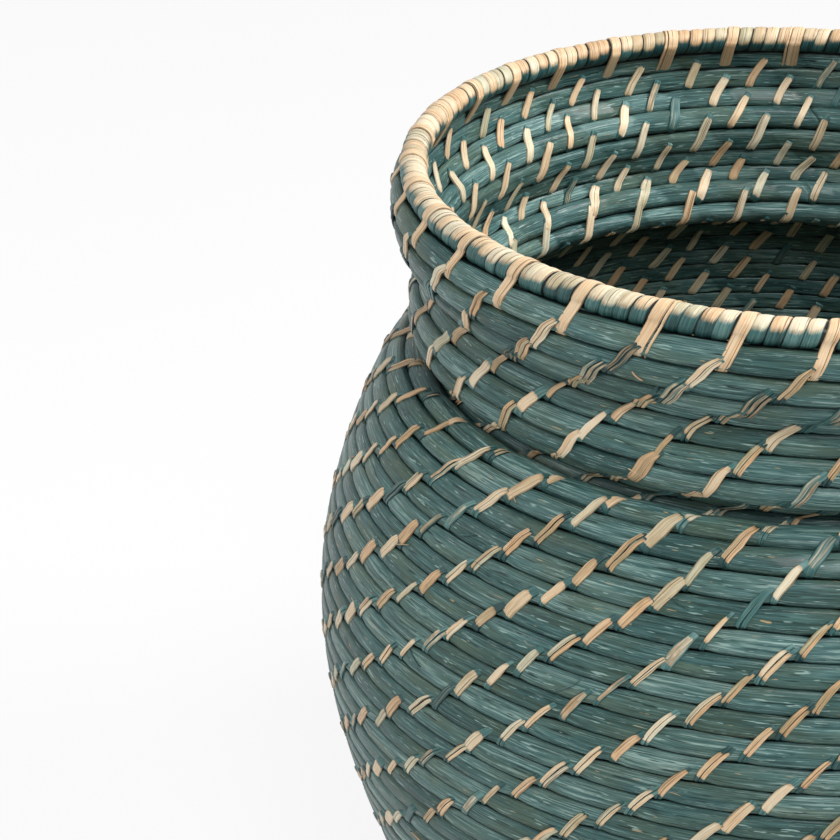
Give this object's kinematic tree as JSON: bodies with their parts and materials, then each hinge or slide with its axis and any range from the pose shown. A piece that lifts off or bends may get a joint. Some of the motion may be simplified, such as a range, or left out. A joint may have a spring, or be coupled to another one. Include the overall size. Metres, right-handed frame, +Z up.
{
  "type": "coiled basket",
  "caption": "Round-bellied coiled straw basket with a rolled collar and a whipped rim, open at the top, flat underneath.",
  "frame": {"origin": "middle of the base, on the floor that the basket stands on", "axes": "+Z up along the axis of the basket, -Y towards the viewer"},
  "size_m": [0.3268, 0.3268, 0.3044],
  "materials": {
    "teal_straw": "satin dyed straw bundle",
    "rim_whipping": "satin natural splint, teal at its lower edge",
    "pale_splint": "satin natural splint"
  },
  "bodies": {
    "root": {"start_knot": "pale_splint", "base_coil": "teal_straw", "foot_coil": "teal_straw", "belly_coil": "teal_straw", "shoulder_coil": "teal_straw", "lower_collar_coil": "teal_straw", "upper_collar_coil": "teal_straw", "rim_core": "rim_whipping", "rim_splint_01": "pale_splint", "rim_splint_02": "pale_splint", "rim_splint_03": "pale_splint", "rim_splint_04": "pale_splint", "rim_splint_05": "pale_splint", "rim_splint_06": "pale_splint", "rim_splint_07": "pale_splint", "rim_splint_08": "pale_splint", "rim_splint_09": "pale_splint", "rim_splint_10": "pale_splint", "rim_splint_11": "pale_splint", "rim_splint_12": "pale_splint", "rim_splint_13": "pale_splint", "rim_splint_14": "pale_splint", "rim_splint_15": "pale_splint", "rim_splint_16": "pale_splint", "rim_splint_17": "pale_splint", "rim_splint_18": "pale_splint", "rim_splint_19": "pale_splint", "rim_splint_20": "pale_splint", "rim_splint_21": "pale_splint", "rim_splint_22": "pale_splint", "rim_splint_23": "pale_splint", "rim_splint_24": "pale_splint", "rim_splint_25": "pale_splint", "rim_splint_26": "pale_splint", "rim_splint_27": "pale_splint", "rim_splint_28": "pale_splint", "rim_splint_29": "pale_splint", "rim_splint_30": "pale_splint", "rim_splint_31": "pale_splint", "rim_splint_32": "pale_splint", "rim_splint_33": "pale_splint", "rim_splint_34": "pale_splint"}
  },
  "joints": []
}
